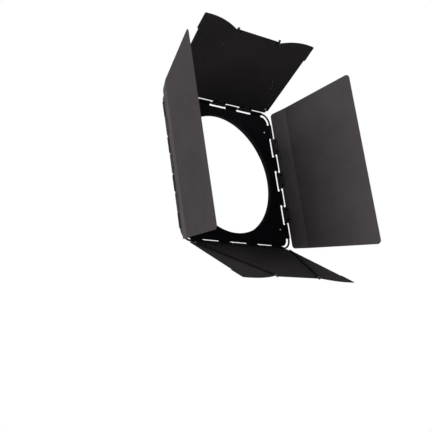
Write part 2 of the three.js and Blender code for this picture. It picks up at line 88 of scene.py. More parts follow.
# Clearances between pieces. Those of the flaps are finer than the frame's, so no light shows.
SEAT_GAP = 0.0003
TURN_GAP = 0.00025
EDGE_GAP = 0.0004
KNUCKLE_GAP = 0.00015
HUG_GAP = 0.00002
UNDERCUT = 0.0008

# Widths of the rounded edges
RING_ROUND = 0.0004
PLATE_ROUND = 0.0003
LEAF_ROUND = 0.00025
CLIP_ROUND = 0.00022
ROD_ROUND = 0.0002
FLAP_ROUND = 0.00012

# Degrees from which an edge is rounded, and from which a rivet's is shaded sharp
EDGE_TURN = 34
RIM_TURN = 50

# Diameter and rise of a rivet's head, and how far the rivets of the rods are turned
SMALL_HEAD = (0.0056, 0.0011)
CLIP_HEAD = (0.0064, 0.001)
RIVET_TURN = 0.4

# Half the depth of a tool that cuts through a sheet
CUT = 0.1
# Points that lie closer than this are one
MERGE = 1e-6
# Stands a prism up, so that its outline becomes a section and its length runs along the hinge
ALONG_HINGE = Matrix(((0, 0, 1, 0), (1, 0, 0, 0), (0, 1, 0, 0), (0, 0, 0, 1)))

PALE_DUST = (0.16, 0.155, 0.15, 1.0)
WHITE = (1.0, 1.0, 1.0, 1.0)
FLOOR_TONE = (0.6, 0.6, 0.6, 1.0)
FLOOR_GLOW = 0.3
FLOOR_RADIUS = 9


def number(description, default, unit):
    return FloatProperty(description=description, default=default, unit=unit)


def length(description, default):
    return number(description, default, "LENGTH")


def angle(description, default):
    return number(description, math.radians(default), "ROTATION")


def power(description, default):
    return number(description, default, "POWER")


def triple(description, default, subtype, **values):
    return FloatVectorProperty(description=description, default=default, subtype=subtype, **values)


def colour(description, default):
    return triple(description, default, "COLOR", min=0, max=1)


def location(description, default):
    return triple(description, default, "TRANSLATION", unit="LENGTH")


def share(description, default):
    return FloatProperty(description=description, default=default, subtype="FACTOR")


class PlateSizes(bpy.types.PropertyGroup):
    """The ring, the plate that turns on it and the wire loop"""

    flange: length("Outside diameter of the rear flange", 0.41)
    bore: length("Inside diameter of the ring", 0.372)
    trapped: length("Outside diameter of the ring's front flange", 0.396)
    depth: length("From the rear flange to the front one", 0.015)
    aperture: length("Diameter of the hole in the plate", 0.368)
    sheet: length("Thickness of the ring, the plate and the clips behind it", 0.0015)
    wire: length("Diameter of the wire loop", 0.006)
    wire_corner: length("Radius of the loop's corners", 0.03)
    slit: length("Clear width between the wire and a sheet's edge", 0.005)
    inner_gap: length("From the inner knuckles to the clips beside them", 0.008)
    outer_gap: length("From the outer knuckles to the clip and the wire's bend", 0.003)
    clip_across: length("Between the rivets of the ring's clips", 0.386)
    clip_up: length("Between the rivets of the ring's clips", 0.32)
    strap_width: length("Width of a clip that traps the ring", 0.024)
    strap_heel: length("From the rivet to the outer end of a strap", 0.008)
    strap_lap: length("How far a strap reaches behind the ring's flange", 0.006)
    strap_run: length("Length of the slope in a strap", 0.004)
    strap_gap: length("From the ring's flange to the slope in a strap", 0.001)


class LeafSizes(bpy.types.PropertyGroup):
    """The four leaves and the clips that hold them to the wire"""

    sheet: length("Thickness of a leaf", 0.001)
    side_reach: length("Length of a side leaf along its sheet", 0.285)
    side_base: length("Height of a side leaf at its hinge", 0.442)
    side_end: length("Height of a side leaf at its outer edge", 0.544)
    side_corner: length("Corner radius of a side leaf", 0.011)
    bend_reach: length("From the wire to a side leaf's bend", 0.058)
    bend: angle("How far a side leaf turns at its bend", 7)
    bend_radius: length("Radius of the bend", 0.004)
    end_reach: length("Length of an upper or lower leaf", 0.2455)
    end_base: length("Width between the flap hinges near the wire", 0.406)
    end_start: length("From the wire to the root of a flap hinge", 0.01)
    end_width: length("Width between the flap hinges at the outer edge", 0.173)
    end_corner: length("Corner radius of an upper or lower leaf", 0.004)
    top_angle: angle("Angle from the plate", 57.2)
    bottom_angle: angle("Angle from the plate", 53.5)
    left_angle: angle("Angle from the plate", 59.4)
    right_angle: angle("Angle from the plate", 65.6)
    clip_width: length("Width of a hinge clip", 0.052)
    clip_reach: length("From the wire to the end of a hinge clip", 0.0185)
    clip_sheet: length("Thickness of a hinge clip", 0.001)
    clip_corner: length("Corner radius of a hinge clip", 0.007)
    clip_share: share("Place of the outer clips along half a side", 0.514)
    clip_rivets: length("Between the two rivets of a clip", 0.032)
    rivet_reach: length("From the wire to the rivets of a clip", 0.011)
    tab_inset: length("From the side of a clip to the leaf's tab in it", 0.003)
    tab_depth: length("How far a leaf's tab reaches into a clip", 0.0025)


class FlapSizes(bpy.types.PropertyGroup):
    """The folding flaps and their rods"""

    root_reach: length("From the wire to a flap's root", 0.015)
    root_width: length("Across both flaps at their roots", 0.413)
    step_reach: length("From the wire to the step in a flap's side", 0.211)
    step_width: length("Across both flaps below the step", 0.442)
    step: length("Width of the step in a flap's side", 0.0055)
    step_rise: length("Length of the step in a flap's side", 0.0025)
    tip_reach: length("From the wire to a flap's tip", 0.2625)
    tip_width: length("Across both flaps at their tips", 0.456)
    tip_corner: length("Radius of a flap's tip", 0.0025)
    crown: length("Rise of a flap's outer edge over its chord", 0.0085)
    crown_drop: length("From the leaf's outer edge to the flap's beside it", 0.003)
    rod: length("Diameter of a flap's rod", 0.0032)
    rod_start: length("From the root of the hinge to the rod", 0.008)
    rod_inset: length("How far the rod ends inside its nut", 0.0006)
    lug_start: length("From the root of the hinge to the rod's lug", 0.0094)
    lug_length: length("Length of the lug along the rod", 0.01)
    lug_reach: length("How far the lug reaches onto the leaf", 0.009)
    lug_sheet: length("Thickness of the lug", 0.0012)
    lug_rivet: length("From the rod to the rivet in its lug", 0.0054)
    barrel_start: length("From the root of the hinge to its first knuckle", 0.022)
    barrel_tail: length("Flat run of a knuckle onto its sheet", 0.006)
    knuckles: IntProperty(description="Knuckles on a rod", default=7, min=3)
    eye_length: length("Length of the eye along the rod", 0.008)
    eye_reach: length("How far the eye reaches onto the leaf", 0.016)
    eye_sheet: length("Thickness of the eye", 0.001)
    eye_rivet: length("From the rod to the rivet in its eye", 0.0116)
    nut: length("Diameter of the nut on a rod's end", 0.008)
    nut_length: length("Length of the nut on a rod's end", 0.0024)
    nut_slope: length("Width of the nut's chamfers", 0.0008)
    foot_corner: length("Corner radius of a lug or an eye's foot", 0.0025)


class FinishSettings(bpy.types.PropertyGroup):
    """Colours of the paints and metals, with painted light on the side leaves' strips and painted
    shade on the plate and the knuckles
    """

    leaf: colour("Matt black of the leaves", (0.0450, 0.0402, 0.0420))
    # Painted light: the strip's paler black stands in for the stronger light on the strip before
    # the bend.
    strip: colour("Paler strip between a side leaf's hinge edge and bend", (0.0680, 0.0605, 0.0635))
    # Painted shade: on the knuckles, which are of the leaf's own sheet, this near black stands in
    # for the shade along the hinge lines; on most rivets it is their black.
    knuckle: colour("Oily black of the flap hinges and of most rivets", (0.0060, 0.0056, 0.0064))
    # Painted shade: the plate's black is darker than the leaves' to stand in for the shade it lies
    # in behind the leaves.
    plate: colour("Darker black of the plate", (0.0172, 0.0166, 0.0215))
    ring: colour("Black of the mounting ring", (0.036, 0.035, 0.038))
    steel: colour("Blackened wire, rods and clips", (0.026, 0.025, 0.027))
    bare: colour("Metal under worn paint", (0.30, 0.29, 0.28))
    rivet: colour("Pale aluminium rivets", (0.72, 0.71, 0.70))
    grain: length("Size of the paint's fine texture", 0.0011)
    wear: share("How much paint is rubbed off the edges", 0.08)


class StageSettings(bpy.types.PropertyGroup):
    """Light, floor and camera"""

    lens: number("Focal length on a 36 mm sensor", 74.17, "CAMERA")
    eye: location("Place of the camera", (-1.821821, -1.748821, -0.804456))
    ahead: triple(
        "Direction in which the camera looks", (0.68536886, 0.67973435, 0.26121015), "DIRECTION"
    )
    above: triple(
        "Upward direction of the picture", (-0.08180569, -0.28456738, 0.95515927), "DIRECTION"
    )
    floor: length("Height of the floor", -1.0)
    ambient: FloatProperty(description="Strength of the sky's light", default=0.035)
    key: power("Power of the key light", 1380)
    key_size: length("Side of the key light", 4.5)
    key_place: location("Where the key light stands", (-9.6, -2.3, 0.9))
    top: power("Power of the top light", 3)
    side: power("Power of the side light", 25)
    fill_size: length("Side of the top and the side light", 2.2)
    side_place: location("Where the side light stands", (3.2, 1.2, 0.0))
    top_place: location("Where the top light stands", (-0.5, 1.2, 3.2))


class BarnDoorSettings(bpy.types.PropertyGroup):
    """Everything that can be changed before the pieces are built"""

    plate: PointerProperty(type=PlateSizes)
    leaf: PointerProperty(type=LeafSizes)
    flap: PointerProperty(type=FlapSizes)
    finish: PointerProperty(type=FinishSettings)
    stage: PointerProperty(type=StageSettings)


def settings():
    return bpy.context.scene.barn_door


# Numbers and graphs


def operator(operation, swapped=False):
    """A method that adds a Math node for its two values."""

    def apply(self, other):
        values = (other, self) if swapped else (self, other)
        return self.graph.math(operation, *values)

    return apply


class Number:
    """A socket that takes part in Python arithmetic and adds its Math nodes as it goes."""

    def __init__(self, graph, socket):
        self.graph = graph
        self.socket = socket

    def __abs__(self):
        return self.graph.math("ABSOLUTE", self)

    __add__ = __radd__ = operator("ADD")
    __mul__ = __rmul__ = operator("MULTIPLY")
    __sub__ = operator("SUBTRACT")
    __rsub__ = operator("SUBTRACT", swapped=True)
    __truediv__ = operator("DIVIDE")
    __pow__ = operator("POWER")
    __gt__ = operator("GREATER_THAN")
    __lt__ = operator("LESS_THAN")


class Graph:
    """A node tree that is written as expressions."""

    def __init__(self, tree):
        self.tree = tree

    def feed(self, socket, value):
        if isinstance(value, Number):
            self.tree.links.new(value.socket, socket)
        else:
            socket.default_value = value

    def node(self, kind, values=None, **options):
        """Adds a node. Its options are set first, then the values or links of its sockets."""
        node = self.tree.nodes.new(kind)
        for name, value in options.items():
            setattr(node, name, value)
        for name, value in (values or {}).items():
            self.feed(node.inputs[name], value)
        return node

    def out(self, node, name=0):
        return Number(self, node.outputs[name])

    def read(self, kind, values=None, **options):
        """Adds a node and gives back its first output."""
        return self.out(self.node(kind, values, **options))

    def math(self, operation, *values):
        return self.read("ShaderNodeMath", dict(enumerate(values)), operation=operation)

    def vector(self, x, y, z):
        return self.read("ShaderNodeCombineXYZ", {"X": x, "Y": y, "Z": z})

    def smooth(self, value, low, high):
        """Rises from 0 to 1 as the value goes from low to high."""
        values = {"Value": value, "From Min": low, "From Max": high}
        return self.read("ShaderNodeMapRange", values, interpolation_type="SMOOTHSTEP")


class Finish(Graph):
    """The node tree of one paint or metal."""

    def __init__(self, name):
        self.material = bpy.data.materials.new(name)
        self.material.use_nodes = True
        super().__init__(self.material.node_tree)
        self.tree.nodes.clear()
        self.place = self.out(self.node("ShaderNodeTexCoord"), "Object")

    def stretched(self, scale):
        return self.read("ShaderNodeMapping", {"Vector": self.place, "Scale": scale})

    def noise(self, scale, detail=2.0, roughness=0.5, place=None):
        values = {"Scale": scale, "Detail": detail, "Roughness": roughness}
        return self.read("ShaderNodeTexNoise", {**values, "Vector": place or self.place})

    def specks(self, scale, size):
        """Round specks on a random lattice."""
        distance = self.read("ShaderNodeTexVoronoi", {"Vector": self.place, "Scale": scale})
        return 1 - self.smooth(distance, size * 0.6, size)

    def blend(self, factor, first, second):
        values = {0: factor, 6: first, 7: second}
        return self.out(self.node("ShaderNodeMix", values, data_type="RGBA"), 2)

    def bump(self, height, distance, strength, under=None):
        values = {"Height": height, "Distance": distance, "Strength": strength}
        if under:
            values["Normal"] = under
        return self.read("ShaderNodeBump", values)

    def surface(self, tint, roughness, relief, level, metallic=0.0):
        """Ends the tree in one shader. The level is the strength of its plain reflection."""
        values = {"Base Color": tint, "Roughness": roughness, "Normal": relief}
        values.update({"Specular IOR Level": level, "Metallic": metallic})
        shader = self.read("ShaderNodeBsdfPrincipled", values)
        self.node("ShaderNodeOutputMaterial", {"Surface": shader})
        return self.material


def scaled(tone, factor):
    return (tone[0] * factor, tone[1] * factor, tone[2] * factor, 1.0)


def painted(name, tone, rough=0.72):
    """Sprayed matt paint on sheet: a fine grain, soft clouds, handling marks and a little dust."""
    look = settings().finish
    paint = Finish(name)
    clouds = paint.noise(6.5, 4.0, 0.55)
    grain = paint.noise(1 / look.grain, 3.0, 0.6)
    peel = paint.noise(0.22 / look.grain)
    marks = paint.noise(30.0, 5.0, 0.7, paint.stretched((1.0, 1.0, 3.4)))
    rubbed = paint.smooth(marks, 0.56, 0.70)
    hairs = paint.noise(16.0, 2.0, 0.5, paint.stretched((34.0, 9.0, 1.6)))
    hair = paint.smooth(hairs, 0.705, 0.735)
    dust = paint.specks(210.0, 0.16) * paint.smooth(clouds, 0.48, 0.66)
    tint = paint.blend(paint.smooth(clouds, 0.3, 0.7), scaled(tone, 0.86), scaled(tone, 1.12))
    tint = paint.blend(paint.smooth(grain, 0.35, 0.7) * 0.45, tint, scaled(tone, 1.5))
    tint = paint.blend(rubbed * 0.35, tint, scaled(tone, 1.35))
    tint = paint.blend(hair * 0.12 + dust * 0.06, tint, PALE_DUST)
    roughness = rough + (grain - 0.5) * 0.16 - rubbed * 0.10 + (clouds - 0.5) * 0.10
    relief = paint.bump(peel, 0.00012, 0.5)
    relief = paint.bump(grain, 0.00008, 0.6, relief)
    return paint.surface(tint, roughness, relief, 0.012)


def worn_edge(name, tone):
    """The same paint on a cut edge, where it is thin and rubbed through in places."""
    look = settings().finish
    edge = Finish(name)
    patches = edge.noise(38.0, 5.0, 0.65)
    fine = edge.noise(900.0, 3.0, 0.6)
    start = 0.80 - 0.3 * look.wear
    gone = edge.smooth(patches + (fine - 0.5) * 0.22, start, start + 0.04)
    thin = edge.smooth(patches, 0.38, 0.62)
    tint = edge.blend(thin * 0.6, scaled(tone, 0.9), scaled(tone, 1.3))
    tint = edge.blend(gone, tint, scaled(look.bare, 1.0))
    roughness = 0.5 + (fine - 0.5) * 0.2 - gone * 0.12
    return edge.surface(tint, roughness, edge.bump(fine, 0.00006, 0.5), 0.03, gone * 0.9)


def blackened(name, tone):
    """Chemically blackened steel with drawing lines, thin oil and a few bright rubs."""
    steel = Finish(name)
    lines = steel.noise(260.0, 3.0, 0.6, steel.stretched((1.0, 5.0, 1.0)))
    oil = steel.noise(24.0, 4.0, 0.6)
    fine = steel.noise(1400.0)
    rub = steel.smooth(oil + (lines - 0.5) * 0.3, 0.66, 0.74)
    tint = steel.blend(steel.smooth(lines, 0.35, 0.65), scaled(tone, 0.8), scaled(tone, 1.5))
    tint = steel.blend(rub * 0.35, tint, scaled(settings().finish.bare, 0.6))
    roughness = 0.42 + (fine - 0.5) * 0.14 + (oil - 0.5) * 0.2
    relief = steel.bump(lines * 0.6 + fine * 0.4, 0.00005, 0.5)
    return steel.surface(tint, roughness, relief, 0.1, rub * 0.4)


def aluminium(name, tone):
    """Bright aluminium rivets with tool marks and a dull skin."""
    metal = Finish(name)
    marks = metal.noise(1500.0, 3.0, 0.6, metal.stretched((1.0, 0.25, 1.0)))
    skin = metal.noise(160.0, 4.0, 0.6)
    tint = metal.blend(metal.smooth(skin, 0.4, 0.7) * 0.5, scaled(tone, 1.0), scaled(tone, 0.62))
    roughness = 0.30 + (marks - 0.5) * 0.18 + skin * 0.12
    return metal.surface(tint, roughness, metal.bump(marks, 0.00005, 0.5), 0.5, 1.0)


def finish(name):
    """The material of a finish, made once. The frame's plain ones have the bare slot names."""
    look = settings().finish
    makers = {
        "leaf_paint": (painted, look.leaf),
        "leaf_edge": (worn_edge, look.leaf),
        # Painted light on the strip before each side leaf's bend
        "strip_paint": (painted, look.strip),
        # Painted shade on the knuckles, and the black of most rivets
        "knuckle_paint": (painted, look.knuckle, 0.8),
        # Painted shade: the plate's darker black, also on its edges
        "plate_paint": (painted, look.plate, 0.7),
        "plate_edge": (worn_edge, look.plate),
        "ring_paint": (painted, look.ring, 0.65),
        "ring_edge": (worn_edge, look.ring),
        "black_steel": (blackened, look.steel),
        "rivet_metal": (aluminium, look.rivet),
    }
    label = "finished_" + name
    make, *values = makers[name]
    return bpy.data.materials.get(label) or make(label, *values)


# Outlines and solids


def flat(x, y):
    return Vector((x, y))


def arc(centre, radius, start, end, steps):
    """Points of an arc. Its angles are in degrees."""
    turns = [math.radians(start + (end - start) * i / steps) for i in range(steps + 1)]
    return [flat(centre.x + radius * math.cos(t), centre.y + radius * math.sin(t)) for t in turns]


def fillet(before, corner, after, radius, steps):
    """Rounds a corner by an arc that is tangent to both of its edges."""
    back = (before - corner).normalized()
    ahead = (after - corner).normalized()
    half = back.angle(ahead) / 2
    centre = corner + (back + ahead).normalized() * (radius / math.sin(half))
    start = corner + back * (radius / math.tan(half)) - centre
    end = corner + ahead * (radius / math.tan(half)) - centre
    turn = math.atan2(start.x * end.y - start.y * end.x, start.dot(end))
    points = []
    for i in range(steps + 1):
        at = turn * i / steps
        c, s = math.cos(at), math.sin(at)
        points.append(centre + flat(start.x * c - start.y * s, start.x * s + start.y * c))
    return points


def outline(corners, steps):
    """Corners are (x, y, radius), and a radius of zero leaves the corner sharp."""
    places, points = [flat(x, y) for x, y, radius in corners], []
    for i, corner in enumerate(places):
        radius, after = corners[i][2], places[(i + 1) % len(places)]
        points += fillet(places[i - 1], corner, after, radius, steps) if radius > 0 else [corner]
    return points


def area(points):
    pairs = zip(points, points[1:] + points[:1])
    return sum(a.x * b.y - b.x * a.y for a, b in pairs) / 2


def linked(name, data):
    """A light or a camera as an object of the scene."""
    made = bpy.data.objects.new(name, data)
    bpy.context.scene.collection.objects.link(made)
    return made


def piece(name, vertices, faces):
    mesh = bpy.data.meshes.new(name)
    mesh.from_pydata([tuple(v) for v in vertices], [], faces)
    return linked(name, mesh)


def prism(name, points, low, high):
    """A flat outline with a thickness along Z."""
    if area(points) < 0:
        points = points[::-1]
    count = len(points)
    vertices = [(p.x, p.y, low) for p in points] + [(p.x, p.y, high) for p in points]
    faces = [tuple(reversed(range(count))), tuple(range(count, 2 * count))]
    faces += [(i, (i + 1) % count, count + (i + 1) % count, count + i) for i in range(count)]
    return piece(name, vertices, faces)


def turned(name, profile, steps):
    """A closed profile of (radius, height) points turned round the Y axis."""
    vertices, faces, count = [], [], len(profile)
    points = [flat(*point) for point in profile]
    for step in range(steps):
        c, s = math.cos(math.tau * step / steps), math.sin(math.tau * step / steps)
        vertices += [(p.x * c, p.y, p.x * s) for p in points]
        a, b = step * count, (step + 1) % steps * count
        faces += [(a + i, b + i, b + (i + 1) % count, a + (i + 1) % count) for i in range(count)]
    return piece(name, vertices, faces)


def rod(name, stations, radius, sides):
    """A round bar along (place, heading) stations, closed at both ends."""
    vertices, faces = [], []
    for place, heading in stations:
        side = heading.cross(Vector((0, 0, 1))).normalized()
        up = side.cross(heading)
        for i in range(sides):
            at = math.tau * i / sides
            vertices.append(place + (side * math.cos(at) + up * math.sin(at)) * radius)
    for k in range(len(stations) - 1):
        a, b = k * sides, (k + 1) * sides
        faces += [(a + i, a + (i + 1) % sides, b + (i + 1) % sides, b + i) for i in range(sides)]
    last = (len(stations) - 1) * sides
    faces += [tuple(reversed(range(sides))), tuple(range(last, last + sides))]
    return piece(name, vertices, faces)


def bake(made):
    """Turns what the modifiers make of a piece into its own mesh."""
    graph = bpy.context.evaluated_depsgraph_get()
    mesh = bpy.data.meshes.new_from_object(made.evaluated_get(graph), depsgraph=graph)
    made.modifiers.clear()
    old, made.data = made.data, mesh
    bpy.data.meshes.remove(old)
    mesh.name = made.name
    return made


def discard(made):
    mesh = made.data
    bpy.data.objects.remove(made)
    bpy.data.meshes.remove(mesh)


def modified(made, kind, **values):
    """Adds a modifier to a piece."""
    modifier = made.modifiers.new(kind.lower(), kind)
    for name, value in values.items():
        setattr(modifier, name, value)
    return modifier


def combined(made, tool, operation):
    """Joins, cuts or trims a piece with another, which is used up."""
    modified(made, "BOOLEAN", solver="MANIFOLD", operation=operation, object=tool)
    bake(made)
    discard(tool)
    return made


@contextmanager
def edited(made):
    """Opens the mesh of a piece, and puts it back when the work on it is done."""
    mesh = bmesh.new()
    mesh.from_mesh(made.data)
    yield mesh
    mesh.to_mesh(made.data)
    mesh.free()


def cleaned(made):
    """Merges doubles, drops edges inside flat faces and turns the faces outwards."""
    even = math.radians(0.35)
    with edited(made) as mesh:
        bmesh.ops.remove_doubles(mesh, verts=mesh.verts, dist=2 * MERGE)
        bmesh.ops.dissolve_degenerate(mesh, edges=mesh.edges, dist=MERGE)
        bmesh.ops.dissolve_limit(mesh, angle_limit=even, verts=mesh.verts, edges=mesh.edges)
        bmesh.ops.recalc_face_normals(mesh, faces=mesh.faces)
    return made


def trimmed(made, plan, steps):
    """Cuts a piece to an outline in its XY plane."""
    combined(made, prism("plan", outline(plan, steps), -CUT, CUT), "INTERSECT")
    return cleaned(made)


def moved(made, matrix):
    """Moves a piece's points, and keeps its faces outward when the move mirrors it."""
    made.data.transform(matrix)
    if matrix.determinant() < 0:
        made.data.flip_normals()
    return made


def several(name, made):
    """Joins pieces of one body and one finish into one object."""
    whole = piece(name, [], [])
    with edited(whole) as mesh:
        for one in made:
            mesh.from_mesh(one.data)
            discard(one)
    return whole


def coated(made, *finishes):
    """Gives a piece its finishes, the first of them on every face, and smooth shading."""
    made.data.materials.clear()
    for name in finishes:
        made.data.materials.append(finish(name))
    for face in made.data.polygons:
        face.material_index = 0
        face.use_smooth = True


def retouched(made, name, test):
    """Gives one more finish to the faces that pass a test."""
    made.data.materials.append(finish(name))
    last = len(made.data.materials) - 1
    for face in made.data.polygons:
        if test(face):
            face.material_index = last


def softened(made, width, faces, edges=None, limit=EDGE_TURN, crisp=None):
    """Rounds the edges, which take the second finish, and keeps flat faces flat in shading.

    Edges that turn by less than the limit in degrees stay as they are, and so do those whose
    ends both pass the test crisp.
    """
    coated(made, faces, edges or faces)
    method, least = "WEIGHT" if crisp else "ANGLE", math.radians(limit)
    values = {"limit_method": method, "angle_limit": least, "material": 1}
    modified(made, "BEVEL", width=width, segments=2, **values)
    if crisp:
        with edited(made) as mesh:
            weight = mesh.edges.layers.float.new("bevel_weight_edge")
            for edge in mesh.edges:
                turns = edge.calc_face_angle(0) > least
                edge[weight] = float(turns and not all(crisp(end.co) for end in edge.verts))
    modified(made, "WEIGHTED_NORMAL", weight=60, keep_sharp=True)
    return bake(made)


def attached(made, body, slot, *nodes):
    """Puts a finished piece on its body, in the place of the frame's nodes."""
    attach(made, body)
    if nodes:
        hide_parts(*nodes)
    return made


# Repeated pieces


class Pattern(Graph):
    """A Geometry Nodes tree that turns a few marked points into repeated pieces."""

    def __init__(self, name, sizes):
        super().__init__(bpy.data.node_groups.new(name, "GeometryNodeTree"))
        self.socket("Geometry", "Geometry", "OUTPUT")
        self.socket("Places", "Geometry")
        for label, default in sizes.items():
            kind = "Int" if isinstance(default, int) else "Float"
            self.socket(label, kind).default_value = default
        self.socket("Finish", "Material")
        entry = self.node("NodeGroupInput")
        self.given = {socket.name: Number(self, socket) for socket in entry.outputs if socket.name}

    def socket(self, label, kind, side="INPUT"):
        values = {"in_out": side, "socket_type": "NodeSocket" + kind}
        return self.tree.interface.new_socket(label, **values)

    def position(self):
        """The X, Y and Z of the points that are worked on."""
        spot = self.node("ShaderNodeSeparateXYZ", {0: self.read("GeometryNodeInputPosition")})
        return [self.out(spot, axis) for axis in "XYZ"]

    def joined(self, parts):
        node = self.node("GeometryNodeJoinGeometry")
        for part in parts:
            self.feed(node.inputs[0], part)
        return self.out(node)

    def shifted(self, shape, height):
        values = {"Geometry": shape, "Translation": self.vector(0.0, 0.0, height)}
        return self.read("GeometryNodeTransform", values)

    def finished(self, shape):
        """Sets the piece on every place, turned as the place says, and gives it its finish."""
        turn = self.read("GeometryNodeInputNamedAttribute", {"Name": "turn"}, data_type="FLOAT")
        angles = {"Euler": self.vector(0.0, 0.0, turn)}
        rotation = self.read("FunctionNodeEulerToRotation", angles)
        values = {"Points": self.given["Places"], "Instance": shape, "Rotation": rotation}
        many = self.read("GeometryNodeInstanceOnPoints", values)
        many = self.read("GeometryNodeRealizeInstances", {"Geometry": many})
        values = {"Geometry": many, "Material": self.given["Finish"]}
        self.node("NodeGroupOutput", {0: self.read("GeometryNodeSetMaterial", values)})
        return self.tree


def rivet_pattern(name):
    """Blind rivets: a domed head with the end of its mandrel in the middle, at both ends."""
    heights = {"Rise": 0.001, "Low": -0.001, "High": 0.001}
    pattern = Pattern(name, {"Head": 0.006, "Shank": 0.003, "Hollow": 0.3, **heights})
    given = pattern.given
    grip = given["High"] - given["Low"]
    radius = given["Head"] / 2.0
    disc, rim, fullness, dent, dent_width = 0.0002, 0.15, 2.6, 0.55, 0.09
    round_bar = "GeometryNodeMeshCylinder"
    values = {"Vertices": 20, "Radius": given["Shank"] / 2.0, "Depth": grip}
    parts = [pattern.read(round_bar, values, fill_type="NGON")]
    for side in (1.0, -1.0):
        values = {"Vertices": 20, "Fill Segments": 8, "Radius": radius, "Depth": disc}
        head = pattern.read(round_bar, values, fill_type="TRIANGLE_FAN")
        x, y, z = pattern.position()
        out = pattern.math("SQRT", x * x + y * y) / radius
        dome = pattern.math("SQRT", pattern.math("MAXIMUM", 1.0 - out**fullness, 0.0))
        dip = 1.0 - dent * (abs(out - given["Hollow"]) < dent_width)
        height = (rim + (1.0 - rim) * dome * dip) * given["Rise"] * (z * side > 0.0)
        values = {"Geometry": head, "Offset": pattern.vector(0.0, 0.0, height * side - z)}
        head = pattern.read("GeometryNodeSetPosition", values)
        parts.append(pattern.shifted(head, grip / 2.0 * side))
    middle = (given["High"] + given["Low"]) / 2.0
    return pattern.finished(pattern.shifted(pattern.joined(parts), middle))


def knuckle_pattern(name):
    """Sheet rolled round a rod that lies along X. The sheet comes in from -Y, under the rod."""
    roll = {"Roll": 290.0, "Steps": 26}
    pattern = Pattern(name, {"Bore": 0.003, "Sheet": 0.001, "Tail": 0.01, "Length": 0.03, **roll})
    given, steps = pattern.given, pattern.given["Steps"]
    values = {"Size X": 1.0, "Size Y": 1.0, "Vertices X": steps + 2.0, "Vertices Y": 2}
    strip = pattern.read("GeometryNodeMeshGrid", values)
    x, y = pattern.position()[:2]
    column = pattern.math("ROUND", (x + 0.5) * (steps + 1.0))
    radius = given["Bore"] + given["Sheet"] * (y > 0.0)
    rolled = column > 0.5
    turn = pattern.math("MAXIMUM", column - 1.0, 0.0) / steps * given["Roll"] - 90.0
    turn = turn * math.radians(1)
    tail = 1.0 - rolled
    across = radius * pattern.math("COSINE", turn) * rolled - given["Tail"] * tail
    up = radius * pattern.math("SINE", turn) * rolled - radius * tail
    section = pattern.vector(given["Length"] / -2.0, across, up)
    strip = pattern.read("GeometryNodeSetPosition", {"Geometry": strip, "Position": section})
    run = pattern.vector(given["Length"], 0.0, 0.0)
    values = {"Mesh": strip, "Offset": run, "Individual": False}
    far = pattern.read("GeometryNodeExtrudeMesh", values, mode="FACES")
    near = pattern.read("GeometryNodeFlipFaces", {"Mesh": strip})
    values = {"Geometry": pattern.joined([far, near]), "Distance": MERGE}
    return pattern.finished(pattern.read("GeometryNodeMergeByDistance", values))


PATTERNS = {"rivets": rivet_pattern, "knuckles": knuckle_pattern}


def repeated(name, pattern, places, material, **sizes):
    """Runs a pattern on (x, y, z, turn) places and gives back a plain mesh."""
    group = bpy.data.node_groups.get(pattern) or PATTERNS[pattern](pattern)
    made = piece(name, [place[:3] for place in places], [])
    turns = made.data.attributes.new("turn", "FLOAT", "POINT")
    turns.data.foreach_set("value", [place[3] for place in places])
    modifier = modified(made, "NODES", node_group=group)
    sizes["Finish"] = finish(material)
    for item in group.interface.items_tree:
        if item.in_out == "INPUT" and item.name in sizes:
            modifier[item.identifier] = sizes[item.name]
    return bake(made)


def rivets(name, places, material, low, high, head, rise):
    """Rivets on (x, y, turn) places, which clamp what lies between two heights."""
    spots = [(x, y, 0.0, turn) for x, y, turn in places]
    made = repeated(name, "rivets", spots, material, Head=head, Rise=rise, Low=low, High=high)
    with edited(made) as mesh:
        bmesh.ops.remove_doubles(mesh, verts=mesh.verts, dist=MERGE)
        bmesh.ops.recalc_face_normals(mesh, faces=mesh.faces)
    return rounded(made, material)


def rounded(made, material):
    """Gives rivets one finish, and smooth shading up to the rims of their heads."""
    coated(made, material)
    made.data.set_sharp_from_angle(angle=math.radians(RIM_TURN))
    return made


# Sizes that follow from the settings, and the frames of the leaves


def wire_bore():
    return settings().plate.wire / 2 + TURN_GAP


def slit_reach():
    return settings().plate.wire / 2 + settings().plate.slit


def front_frame():
    """The centre of the wire loop, with Z along the beam."""
    return Matrix.Translation((0, WIRE_PLANE, 0)) @ Matrix.Rotation(math.pi / 2, 4, "X")


def leaf_frame(name):
    """X runs along the hinge, Y leaves the wire in the sheet, and Z is the inner side.

    A leaf that is turned over has its rods on the inner side instead of the outer one.
    """
    opened = getattr(settings().leaf, name + "_angle")
    turn = Matrix.Rotation(math.radians(LEAF_TURNS[name]), 4, "Z")
    lift = Matrix.Translation((0, WIRE_HALF, 0)) @ Matrix.Rotation(opened, 4, "X")
    over = Matrix.Rotation(math.pi if name in TURNED_OVER else 0, 4, "Y")
    return front_frame() @ turn @ lift @ over


def rod_bore():
    return settings().flap.rod / 2 + SEAT_GAP


def hinge_root():
    return flat(settings().leaf.end_base / 2, settings().leaf.end_start)


def hinge_tip():
    return flat(settings().leaf.end_width / 2, settings().leaf.end_reach)


def hinge_lean():
    root, tip = hinge_root(), hinge_tip()
    return math.atan2(root.x - tip.x, tip.y - root.y)


def rod_height():
    return rod_bore() + settings().leaf.sheet / 2


def rod_frame(hand):
    """X leaves the leaf, Y runs along the rod, and Z leaves the side on which the rod lies.

    The hand is 1 for the hinge on the leaf's own +X side and -1 for the other one.
    """
    root = hinge_root()
    place = Matrix.Translation((root.x, root.y, rod_height()))
    return Matrix.Diagonal((hand, 1, -1, 1)) @ place @ Matrix.Rotation(hinge_lean(), 4, "Z")


